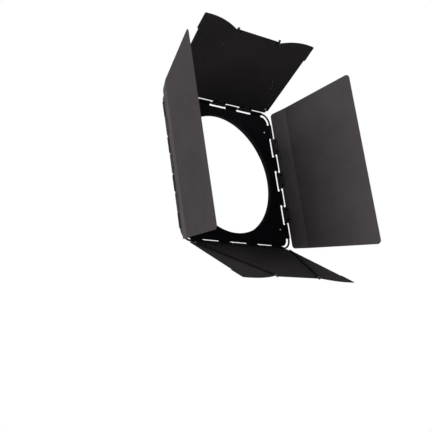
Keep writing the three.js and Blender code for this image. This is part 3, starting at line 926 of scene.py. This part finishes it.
def eye_span():
    """The eye backs the nut, which just clears the leaf's slanted outer edge."""
    size = settings().flap
    end = (hinge_tip() - hinge_root()).length + size.nut / 2 * math.tan(hinge_lean())
    return end - size.eye_length, end


def nut_span():
    start = eye_span()[1] + SEAT_GAP
    return start, start + settings().flap.nut_length


def beside_hinge(offset, reach):
    """The point at a reach that lies outside the hinge line by an offset square to it."""
    root, lean = hinge_root(), hinge_lean()
    across = offset / math.cos(lean) - (reach - root.y) * math.tan(lean)
    return flat(root.x + across, reach)


def along_hinge(offset, run):
    """The point that lies outside the hinge line by an offset, at a run from its root."""
    lean = hinge_lean()
    across, ahead = flat(math.cos(lean), math.sin(lean)), flat(-math.sin(lean), math.cos(lean))
    return hinge_root() + across * offset + ahead * run


def flap_edge_gap():
    """How far a sheet's edge stays from the rod, so that it clears a knuckle at every angle."""
    swept = rod_bore() + settings().leaf.sheet + HUG_GAP
    return math.sqrt(swept**2 - rod_bore() ** 2)


def dressed(made, hand):
    """Slants a sheet's hinge edge, so that its far side reaches a little under the knuckles."""
    root, lean = hinge_root(), hinge_lean()
    across = flat(math.cos(lean), math.sin(lean))
    for vertex in made.data.vertices:
        spot = flat(vertex.co.x * hand, vertex.co.y)
        beyond = (spot - root).dot(across)
        depth = abs(beyond) - flap_edge_gap()
        if vertex.co.z > 0 and depth < UNDERCUT:
            spot -= across * math.copysign(UNDERCUT - max(depth, 0), beyond)
            vertex.co.x, vertex.co.y = spot.x * hand, spot.y
    return made


def at_rod(on_barrel):
    """A test whether a point of a leaf lies at a rod, on a barrel or else in the sheet."""
    sheet = settings().leaf.sheet
    reach = rod_bore() + sheet + EDGE_GAP
    level = sheet / 2 - rod_height() + HUG_GAP
    frames = [rod_frame(hand).inverted() for hand in HANDS.values()]

    def test(point):
        places = [frame @ point for frame in frames]
        return any(math.hypot(p.x, p.z) < reach and (p.z > level) == on_barrel for p in places)

    return test


def clip_places():
    step = settings().leaf.clip_share * WIRE_HALF
    return (-step, 0.0, step)


def hinge_edge():
    """Corners of a leaf's hinge edge, from right to left, with a tab in the mouth of each clip."""
    size, low, corners = settings().leaf, slit_reach(), []
    half = size.clip_width / 2 - size.tab_inset
    for middle in reversed(clip_places()):
        for side, depth in ((1, 0), (1, size.tab_depth), (-1, size.tab_depth), (-1, 0)):
            corners.append((middle + side * half, low - depth, 0))
    return corners


def leaf_plan(base, tip, radius):
    """Corners of a leaf. The base and the tip are those of its right side."""
    sides = (flat(-base.x, base.y), flat(-tip.x, tip.y), tip, base)
    return hinge_edge() + [(*corner, radius) for corner in sides]


def on_plate(made, slot, *nodes):
    """Puts a piece that was made in the plate's frame on the plate's body."""
    moved(made, front_frame())
    return attached(made, "plate_body", slot, *nodes)


def on_leaf(made, name, slot, *nodes):
    """Puts a piece that was made in a leaf's frame on the leaf's body."""
    moved(made, leaf_frame(name))
    return attached(made, name + "_leaf_body", slot, *nodes)


# Pieces


def mounting_ring():
    """A spool of sheet, rolled round at the rims of its bore."""
    size = settings().plate
    bore, sheet, depth = size.bore / 2, size.sheet, size.depth
    trapped, flange = size.trapped / 2, size.flange / 2
    rim, groove = 0.0018, 0.00055
    corners = [
        (bore, 0, rim),
        (bore, -depth, rim),
        (trapped, -depth, 0),
        (trapped, sheet - depth, 0),
        (bore + sheet, sheet - depth, groove),
        (bore + sheet, -sheet, groove),
        (flange, -sheet, 0),
        (flange, 0, 0),
    ]
    made = cleaned(turned("mounting_ring_spool", outline(corners, steps=4), steps=192))
    softened(made, RING_ROUND, "ring_paint", "ring_edge")
    return attached(made, "ring_body", "ring_paint", "mounting_ring")


def plate_knuckle_spans():
    """The inner and the outer knuckle of half a side, between the clips of a leaf."""
    size, half = settings().plate, settings().leaf.clip_width / 2
    clip = clip_places()[-1]
    run = WIRE_HALF - size.wire_corner
    inner = half + size.inner_gap, clip - half - size.inner_gap
    return inner, (clip + half + size.outer_gap, run - size.outer_gap)


def plate_knuckles():
    """Sixteen rolls of the plate's edges, in two lengths."""
    sheet, rolls = settings().plate.sheet, []
    sizes = {"Bore": wire_bore(), "Sheet": sheet, "Tail": slit_reach() + sheet}
    for low, high in plate_knuckle_spans():
        places = []
        for side in range(4):
            turn = side * math.pi / 2
            for sign in (-1, 1):
                spot = Vector((sign * (low + high) / 2, WIRE_HALF, 0))
                places.append((*(Matrix.Rotation(turn, 3, "Z") @ spot), turn))
        sizes["Length"] = high - low
        rolls.append(repeated("rolls", "knuckles", places, "plate_paint", **sizes))
    return cleaned(several("plate_knuckles", rolls))


def base_plate():
    """The square plate, with sixteen knuckles rolled round the wire."""
    size = settings().plate
    half = WIRE_HALF - slit_reach()
    front = -wire_bore()
    radius = size.wire_corner - slit_reach()
    square = outline([(half * x, half * y, radius) for x, y in CORNERS.values()], steps=14)
    made = prism("base_plate_sheet", square, front - size.sheet, front)
    circle = arc(flat(0, 0), size.aperture / 2, 0, 360, steps=240)
    hole = prism("aperture", circle[:-1], -CUT, CUT)
    combined(made, hole, "DIFFERENCE")
    combined(made, plate_knuckles(), "UNION")
    cleaned(made)
    softened(made, PLATE_ROUND, "plate_paint", "plate_edge")
    return on_plate(made, "plate_paint", "base_plate")


def hinge_wire():
    """One rod bent round four corners, whose ends meet in a knuckle of the lower edge."""
    size, steps = settings().plate, 18
    centre = WIRE_HALF - size.wire_corner
    butt = -sum(plate_knuckle_spans()[0]) / 2
    gap = EDGE_GAP / 2

    def station(x, y, turn):
        return Vector((x, y, 0)), Vector((math.cos(turn), math.sin(turn), 0))

    stations = [station(butt + gap, -WIRE_HALF, 0)]
    for corner in range(4):
        middle = Matrix.Rotation(corner * math.pi / 2, 2) @ flat(centre, -centre)
        for i in range(steps + 1):
            turn = math.pi / 2 * (corner + i / steps)
            x = middle.x + size.wire_corner * math.sin(turn)
            y = middle.y - size.wire_corner * math.cos(turn)
            stations.append(station(x, y, turn))
    stations.append(station(butt - gap, -WIRE_HALF, 0))
    made = cleaned(rod("hinge_wire_loop", stations, size.wire / 2, sides=28))
    softened(made, RING_ROUND, "black_steel", limit=60)
    return on_plate(made, "black_steel", "hinge_wire")


def ring_clips():
    """Joggled strips behind the plate that trap the ring, with their pale rivets."""
    size = settings().plate
    across, up = size.clip_across / 2, size.clip_up / 2
    foot = -wire_bore() - size.sheet - SEAT_GAP
    lip = foot - size.sheet - SEAT_GAP
    flange = size.trapped / 2
    joggle, tip = flange + size.strap_gap, flange - size.strap_lap
    heel = math.hypot(across, up) + size.strap_heel
    half, shift = size.strap_width / 2, size.sheet / 2
    wide, tight, heel_corner, tip_corner = 0.002, 0.001, 0.004, 0.003
    profile = [
        (heel, foot, 0),
        (joggle + size.strap_run, foot, wide),
        (joggle, lip, tight),
        (tip, lip, 0),
        (tip, lip - size.sheet, 0),
        (joggle + shift, lip - size.sheet, wide),
        (joggle + size.strap_run + shift, foot - size.sheet, tight),
        (heel, foot - size.sheet, 0),
    ]
    upright = Matrix.Translation((0, half, 0)) @ Matrix.Rotation(math.pi / 2, 4, "X")
    plan = [
        (heel, half, heel_corner),
        (tip, half, tip_corner),
        (tip, -half, tip_corner),
        (heel, -half, heel_corner),
    ]
    clips, spots = [], []
    for x, y in CORNERS.values():
        strip = moved(prism("strip", outline(profile, steps=5), 0, size.strap_width), upright)
        turn = math.atan2(up * y, across * x)
        clips.append(moved(trimmed(strip, plan, steps=8), Matrix.Rotation(turn, 4, "Z")))
        spots.append((across * x, up * y, turn))
    made = several("ring_clip_strips", clips)
    softened(made, PLATE_ROUND, "black_steel")
    on_plate(made, "black_steel", *("ring_clip_" + name for name in CORNERS))
    tail, head_gap = 0.0006, 0.0001
    low, high = lip - size.sheet + SEAT_GAP - tail, -wire_bore() + head_gap
    made = rivets("ring_clip_rivets", spots, "rivet_metal", low, high, *SMALL_HEAD)
    return on_plate(made, "rivet_metal", *("ring_clip_rivet_" + name for name in CORNERS))


def side_leaf(name):
    """A leaf with one shallow bend parallel to its hinge. The strip up to the bend is painted paler
    as painted light, for the light that strip catches.
    """
    size, spare = settings().leaf, 0.02
    half, bend, reach = size.sheet / 2, size.bend, size.bend_reach
    outer = size.side_reach - reach
    end = flat(reach, 0) + flat(math.cos(bend), math.sin(bend)) * (outer + spare)
    lift = flat(-math.sin(bend), math.cos(bend)) * half
    knee = half * math.tan(bend / 2)
    profile = [
        (0, -half, 0),
        (reach + knee, -half, size.bend_radius + size.sheet),
        (*(end - lift), 0),
        (*(end + lift), 0),
        (reach - knee, half, size.bend_radius),
        (0, half, 0),
    ]
    width = size.side_end / 2 + spare
    made = prism(name + "_leaf_sheet", outline(profile, steps=7), -width, width)
    base = flat(size.side_base / 2, slit_reach())
    tip = flat(size.side_end / 2, reach + outer * math.cos(bend))
    plan = leaf_plan(base, tip, size.side_corner)
    trimmed(moved(made, ALONG_HINGE), plan, steps=14)
    softened(made, LEAF_ROUND, "leaf_paint", "leaf_edge")
    # Painted light: the strip before the bend takes the paler paint that stands in for the light it
    # catches.
    retouched(made, "strip_paint", lambda face: face.material_index == 0 and face.center.y < reach)
    return on_leaf(made, name, "leaf_paint", name + "_leaf")


def knuckle_spans():
    size = settings().flap
    pitch = (eye_span()[0] - size.barrel_start) / size.knuckles
    starts = [size.barrel_start + i * pitch for i in range(size.knuckles)]
    return [(start, start + pitch - KNUCKLE_GAP) for start in starts]


def rolled(made, hand, first, turn):
    """Joins every other knuckle of a rod to its sheet."""
    spans = knuckle_spans()[first::2]
    places = [(0.0, (low + high) / 2, 0.0, turn) for low, high in spans]
    sizes = {"Bore": rod_bore(), "Sheet": settings().leaf.sheet}
    sizes.update({"Tail": settings().flap.barrel_tail, "Length": spans[0][1] - spans[0][0]})
    rolls = cleaned(repeated("rolls", "knuckles", places, "leaf_paint", **sizes))
    return combined(made, moved(rolls, rod_frame(hand)), "UNION")


def hinged(made):
    """Rounds a sheet's edges except at the rods, and paints the rolled knuckles near black as
    painted shade along the hinge lines.
    """
    cleaned(made)
    softened(made, FLAP_ROUND, "leaf_paint", "leaf_edge", crisp=at_rod(False))
    on_barrel = at_rod(True)
    # Painted shade: the barrels take a near-black paint that stands in for the shade along the
    # hinge lines.
    retouched(made, "knuckle_paint", lambda face: on_barrel(face.center))
    return made


def end_leaf(name):
    """An upper or lower leaf, with knuckles rolled along both slanted edges."""
    size = settings().leaf
    base = beside_hinge(-flap_edge_gap(), slit_reach())
    tip = beside_hinge(-flap_edge_gap(), size.end_reach)
    plan = outline(leaf_plan(base, tip, size.end_corner), steps=10)
    made = prism(name + "_leaf_sheet", plan, -size.sheet / 2, size.sheet / 2)
    for hand in HANDS.values():
        dressed(made, hand)
    for hand in HANDS.values():
        rolled(made, hand, 0, -math.pi / 2)
    return on_leaf(hinged(made), name, "leaf_paint", name + "_leaf")


def flap(name, hand, place):
    """A folding flap with a crowned outer edge and a small step in its side.

    At its root it reaches in to the leaf's edge, up to the first knuckle.
    """
    size, steps = settings().flap, 40
    inner = beside_hinge(flap_edge_gap(), hinge_tip().y - size.crown_drop)
    outer = flat(size.tip_width / 2, size.tip_reach)
    chord = inner - outer
    rise = flat(chord.y, -chord.x).normalized()
    crown = []
    for i in range(1, steps + 1):
        at = i / steps
        crown.append((*(outer + chord * at + rise * (4 * size.crown * at * (1 - at))), 0))
    edge = size.step_width / 2
    fill = KNUCKLE_GAP - flap_edge_gap()
    end = size.barrel_start - KNUCKLE_GAP
    plan = [
        (*along_hinge(flap_edge_gap(), end), 0),
        (*along_hinge(fill, end), 0),
        (*beside_hinge(fill, size.root_reach), 0),
        (size.root_width / 2, size.root_reach, 0),
        (edge, size.step_reach, 0),
        (edge + size.step, size.step_reach + size.step_rise, 0),
        (*outer, size.tip_corner),
    ]
    half = settings().leaf.sheet / 2
    made = prism(place + "_flap_sheet", outline(plan + crown, steps=8), -half, half)
    if hand < 0:
        moved(made, Matrix.Diagonal((-1, 1, 1, 1)))
    rolled(dressed(made, hand), hand, 1, math.pi / 2)
    moved(hinged(made), leaf_frame(name))
    return attached(made, place + "_flap_body", "leaf_paint", place + "_flap")


def hinge_clips(name):
    """Strips bent round the wire, which grip a leaf's edge and are riveted shut."""
    size, steps, eye = settings().leaf, 30, flat(0, 0)
    outer = wire_bore() + size.clip_sheet
    mouth = size.sheet / 2 + SEAT_GAP
    back = mouth + size.clip_sheet
    out_turn = math.degrees(math.asin(back / outer))
    in_turn = math.degrees(math.asin(mouth / wire_bore()))
    reach, half = size.clip_reach, size.clip_width / 2
    profile = [
        flat(reach, back),
        *arc(eye, outer, out_turn, 360 - out_turn, steps),
        flat(reach, -back),
        flat(reach, -mouth),
        *arc(eye, wire_bore(), 360 - in_turn, in_turn, steps),
        flat(reach, mouth),
    ]
    plan = [
        (-half, -CUT, 0),
        (half, -CUT, 0),
        (half, reach, size.clip_corner),
        (-half, reach, size.clip_corner),
    ]
    clips, spots = [], []
    for middle in clip_places():
        clip = moved(prism("strap", profile, -half, half), ALONG_HINGE)
        place = Matrix.Translation((middle, 0, 0))
        clips.append(moved(trimmed(clip, plan, steps=10), place))
        for side in (-1, 1):
            spots.append((middle + side * size.clip_rivets / 2, size.rivet_reach, side))
    made = several(name + "_leaf_clips", clips)
    softened(made, CLIP_ROUND, "leaf_paint", "leaf_edge")
    on_leaf(made, name, "leaf_paint", *(f"{name}_leaf_hinge_clip_{i}" for i in (1, 2, 3)))
    made = rivets(name + "_leaf_clip_rivets", spots, "knuckle_paint", -back, back, *CLIP_HEAD)
    return on_leaf(made, name, "black_steel")


def foot(root, start, length, reach, thickness):
    """A flat tongue that reaches in from a rod and lies on the leaf."""
    size = settings().flap
    corners = [
        (-root, start, 0),
        (-root, start + length, 0),
        (-reach, start + length, size.foot_corner),
        (-reach, start, size.foot_corner),
    ]
    return prism("foot", outline(corners, steps=8), -size.rod / 2, thickness - size.rod / 2)


def flap_rod():
    """A rod with a flattened lug at its root."""
    size = settings().flap
    radius, start, end = size.rod / 2, size.rod_start, nut_span()[1] - size.rod_inset
    slope, taper, point = radius * 0.3, radius * 0.6, radius * 0.55
    profile = [
        (0.0, start),
        (radius - slope, start),
        (radius, start + slope),
        (radius, end - taper),
        (point, end),
        (0.0, end),
    ]
    bar = cleaned(turned("bar", profile, steps=24))
    lug = foot(0, size.lug_start, size.lug_length, size.lug_reach, size.lug_sheet)
    return combined(bar, lug, "UNION")


def rod_eye():
    """An eye at the leaf's outer edge that carries the end of a rod."""
    size, bore, (start, end) = settings().flap, rod_bore(), eye_span()
    outer = bore + size.eye_sheet
    ring = [(bore, start), (outer, start), (outer, end), (bore, end)]
    eye = cleaned(turned("eye", ring, steps=32))
    root = bore * 1.02
    tongue = foot(root, start, size.eye_length, size.eye_reach, size.eye_sheet)
    return combined(eye, tongue, "UNION")


def rod_nut():
    """A round push nut on the end of a rod."""
    size, bore, (start, end) = settings().flap, rod_bore(), nut_span()
    wide, slope, mouth = size.nut / 2, size.nut_slope, bore * 0.15
    profile = [
        (bore, start),
        (wide - slope, start),
        (wide, start + slope),
        (wide, end - slope),
        (wide - slope, end),
        (bore + mouth, end),
        (bore, end - mouth),
    ]
    return turned("nut", profile, steps=60)


def on_rods(name, kind, build, limit=EDGE_TURN):
    """Puts what is built in the frame of a rod on both rods of a leaf."""
    parts = [moved(cleaned(build()), rod_frame(hand)) for hand in HANDS.values()]
    made = several(f"{name}_{kind}s", parts)
    softened(made, ROD_ROUND, "black_steel", limit=limit)
    return on_leaf(made, name, "black_steel", *(f"{name}_{side}_{kind}" for side in HANDS))


def foot_rivets(name, kind, along, inward, thickness, slot, material):
    """The rivets through a leaf that hold the lugs or the eyes of both rods."""
    low = -rod_height() - settings().leaf.sheet / 2
    high = thickness - settings().flap.rod / 2
    parts = []
    for hand in HANDS.values():
        spots = [(-inward, along, RIVET_TURN * hand)]
        one = rivets("one", spots, material, low, high, *SMALL_HEAD)
        parts.append(moved(one, rod_frame(hand)))
    made = rounded(several(f"{name}_{kind}s", parts), material)
    return on_leaf(made, name, slot, *(f"{name}_{side}_{kind}" for side in HANDS))


def rod_rivets(name):
    """Pale rivets hold the lugs, and black ones the eyes."""
    size = settings().flap
    pale, dark = ("rivet_metal", "rivet_metal"), ("black_steel", "knuckle_paint")
    lug, eye = size.lug_start + size.lug_length / 2, sum(eye_span()) / 2
    foot_rivets(name, "rod_rivet", lug, size.lug_rivet, size.lug_sheet, *pale)
    foot_rivets(name, "eye_rivet", eye, size.eye_rivet, size.eye_sheet, *dark)


# Stage


def light_path(graph):
    """Whether a ray belongs to the camera, or to a reflection or a pane that shows the backdrop."""
    path = graph.node("ShaderNodeLightPath")
    names = ("Is Camera Ray", "Is Glossy Ray", "Is Transmission Ray")
    camera, glossy, through = (graph.out(path, name) for name in names)
    return graph.math("MAXIMUM", graph.math("MAXIMUM", camera, glossy), through)


def sky(strength):
    world = bpy.data.worlds.new("studio")
    bpy.context.scene.world = world
    world.use_nodes = True
    world.node_tree.nodes.clear()
    graph = Graph(world.node_tree)
    shown = light_path(graph)
    level = shown + (1 - shown) * strength
    light = graph.read("ShaderNodeBackground", {"Color": WHITE, "Strength": level})
    graph.node("ShaderNodeOutputWorld", {"Surface": light})


def floor(height):
    ground = Finish("floor_pale")
    glow = light_path(ground) * FLOOR_GLOW
    diffuse = ground.read("ShaderNodeBsdfDiffuse", {"Color": FLOOR_TONE})
    glow = ground.read("ShaderNodeEmission", {"Color": WHITE, "Strength": glow})
    both = ground.read("ShaderNodeAddShader", {0: diffuse, 1: glow})
    ground.node("ShaderNodeOutputMaterial", {"Surface": both})
    made = piece("floor", [], [])
    with edited(made) as mesh:
        bmesh.ops.create_circle(mesh, cap_ends=True, segments=96, radius=FLOOR_RADIUS)
    made.location.z = height
    made.data.materials.append(ground.material)


def lamp(name, energy, size, place):
    """A square light that looks at the origin."""
    light = bpy.data.lights.new(name, "AREA")
    light.shape = "SQUARE"
    light.size = size
    light.energy = energy
    made = linked(name, light)
    made.location = place
    made.rotation_euler = (Vector() - Vector(place)).to_track_quat("-Z", "Y").to_euler()
    made.visible_camera = False


def camera(stage):
    lens = bpy.data.cameras.new("camera")
    lens.lens = stage.lens
    lens.sensor_width = 36
    made = linked("camera", lens)
    ahead, above = Vector(stage.ahead).normalized(), Vector(stage.above).normalized()
    right = ahead.cross(above).normalized()
    above = right.cross(ahead)
    turn = Matrix((right, above, -ahead)).transposed().to_4x4()
    made.matrix_world = Matrix.Translation(stage.eye) @ turn
    bpy.context.scene.camera = made


# Operators


class BARNDOOR_OT_ring(bpy.types.Operator):
    """Build the mounting ring"""

    bl_idname = "barn_door.ring"
    bl_label = "Mounting Ring"

    def execute(self, context):
        mounting_ring()
        return {"FINISHED"}


class BARNDOOR_OT_plate(bpy.types.Operator):
    """Build the plate with its knuckles, the wire loop and the clips that trap the ring"""

    bl_idname = "barn_door.plate"
    bl_label = "Plate and Wire"

    def execute(self, context):
        base_plate()
        hinge_wire()
        ring_clips()
        return {"FINISHED"}


class BARNDOOR_OT_side_leaves(bpy.types.Operator):
    """Build the left and right leaves with their shallow bends"""

    bl_idname = "barn_door.side_leaves"
    bl_label = "Side Leaves"

    def execute(self, context):
        for name in ("left", "right"):
            side_leaf(name)
        return {"FINISHED"}


class BARNDOOR_OT_end_leaves(bpy.types.Operator):
    """Build the upper and lower leaves with their rolled knuckles"""

    bl_idname = "barn_door.end_leaves"
    bl_label = "Upper and Lower Leaves"

    def execute(self, context):
        for name in END_LEAVES:
            end_leaf(name)
        return {"FINISHED"}


class BARNDOOR_OT_flaps(bpy.types.Operator):
    """Build the four folding flaps"""

    bl_idname = "barn_door.flaps"
    bl_label = "Folding Flaps"

    def execute(self, context):
        for name in END_LEAVES:
            for side, hand in HANDS.items():
                flap(name, hand, f"{name}_{side}")
        return {"FINISHED"}


class BARNDOOR_OT_clips(bpy.types.Operator):
    """Build the clips that hold the leaves to the wire, with their rivets"""

    bl_idname = "barn_door.clips"
    bl_label = "Hinge Clips"

    def execute(self, context):
        for name in LEAF_TURNS:
            hinge_clips(name)
        return {"FINISHED"}


class BARNDOOR_OT_rods(bpy.types.Operator):
    """Build the rods of the flap hinges, their eyes, nuts and rivets"""

    bl_idname = "barn_door.rods"
    bl_label = "Rods and Eyes"

    def execute(self, context):
        for name in END_LEAVES:
            on_rods(name, "flap_rod", flap_rod)
            on_rods(name, "rod_eye", rod_eye)
            on_rods(name, "rod_nut", rod_nut, limit=25)
            rod_rivets(name)
        return {"FINISHED"}


class BARNDOOR_OT_stage(bpy.types.Operator):
    """Set the floor, the light and the camera"""

    bl_idname = "barn_door.stage"
    bl_label = "Stage"

    def execute(self, context):
        stage = settings().stage
        context.scene.view_settings.view_transform = "Standard"
        sky(stage.ambient)
        floor(stage.floor)
        lamp("key", stage.key, stage.key_size, stage.key_place)
        lamp("side", stage.side, stage.fill_size, stage.side_place)
        lamp("top", stage.top, stage.fill_size, stage.top_place)
        camera(stage)
        return {"FINISHED"}


STEPS = (
    BARNDOOR_OT_ring,
    BARNDOOR_OT_plate,
    BARNDOOR_OT_side_leaves,
    BARNDOOR_OT_end_leaves,
    BARNDOOR_OT_flaps,
    BARNDOOR_OT_clips,
    BARNDOOR_OT_rods,
    BARNDOOR_OT_stage,
)


class BARNDOOR_PT_panel(bpy.types.Panel):
    """Lists the steps that build the attachment"""

    bl_idname = "BARNDOOR_PT_panel"
    bl_label = "Barn Door"
    bl_space_type = "VIEW_3D"
    bl_region_type = "UI"
    bl_category = "Barn Door"

    def draw(self, context):
        for step in STEPS:
            self.layout.operator(step.bl_idname)
        for name in ("plate", "leaf", "flap", "finish", "stage"):
            group = getattr(context.scene.barn_door, name)
            box = self.layout.box()
            for field in group.bl_rna.properties:
                if field.identifier not in ("rna_type", "name"):
                    box.prop(group, field.identifier)


GROUPS = (PlateSizes, LeafSizes, FlapSizes, FinishSettings, StageSettings, BarnDoorSettings)
CLASSES = GROUPS + STEPS + (BARNDOOR_PT_panel,)


def register():
    for group in GROUPS:
        for key, field in group.__annotations__.items():
            field.keywords["name"] = key.replace("_", " ").capitalize()
    for group in CLASSES:
        bpy.utils.register_class(group)
    bpy.types.Scene.barn_door = PointerProperty(type=BarnDoorSettings)


def unregister():
    del bpy.types.Scene.barn_door
    for group in reversed(CLASSES):
        bpy.utils.unregister_class(group)


def main():
    register()
    for step in STEPS:
        area_name, action = step.bl_idname.split(".")
        getattr(getattr(bpy.ops, area_name), action)()


if __name__ == "__main__":
    main()
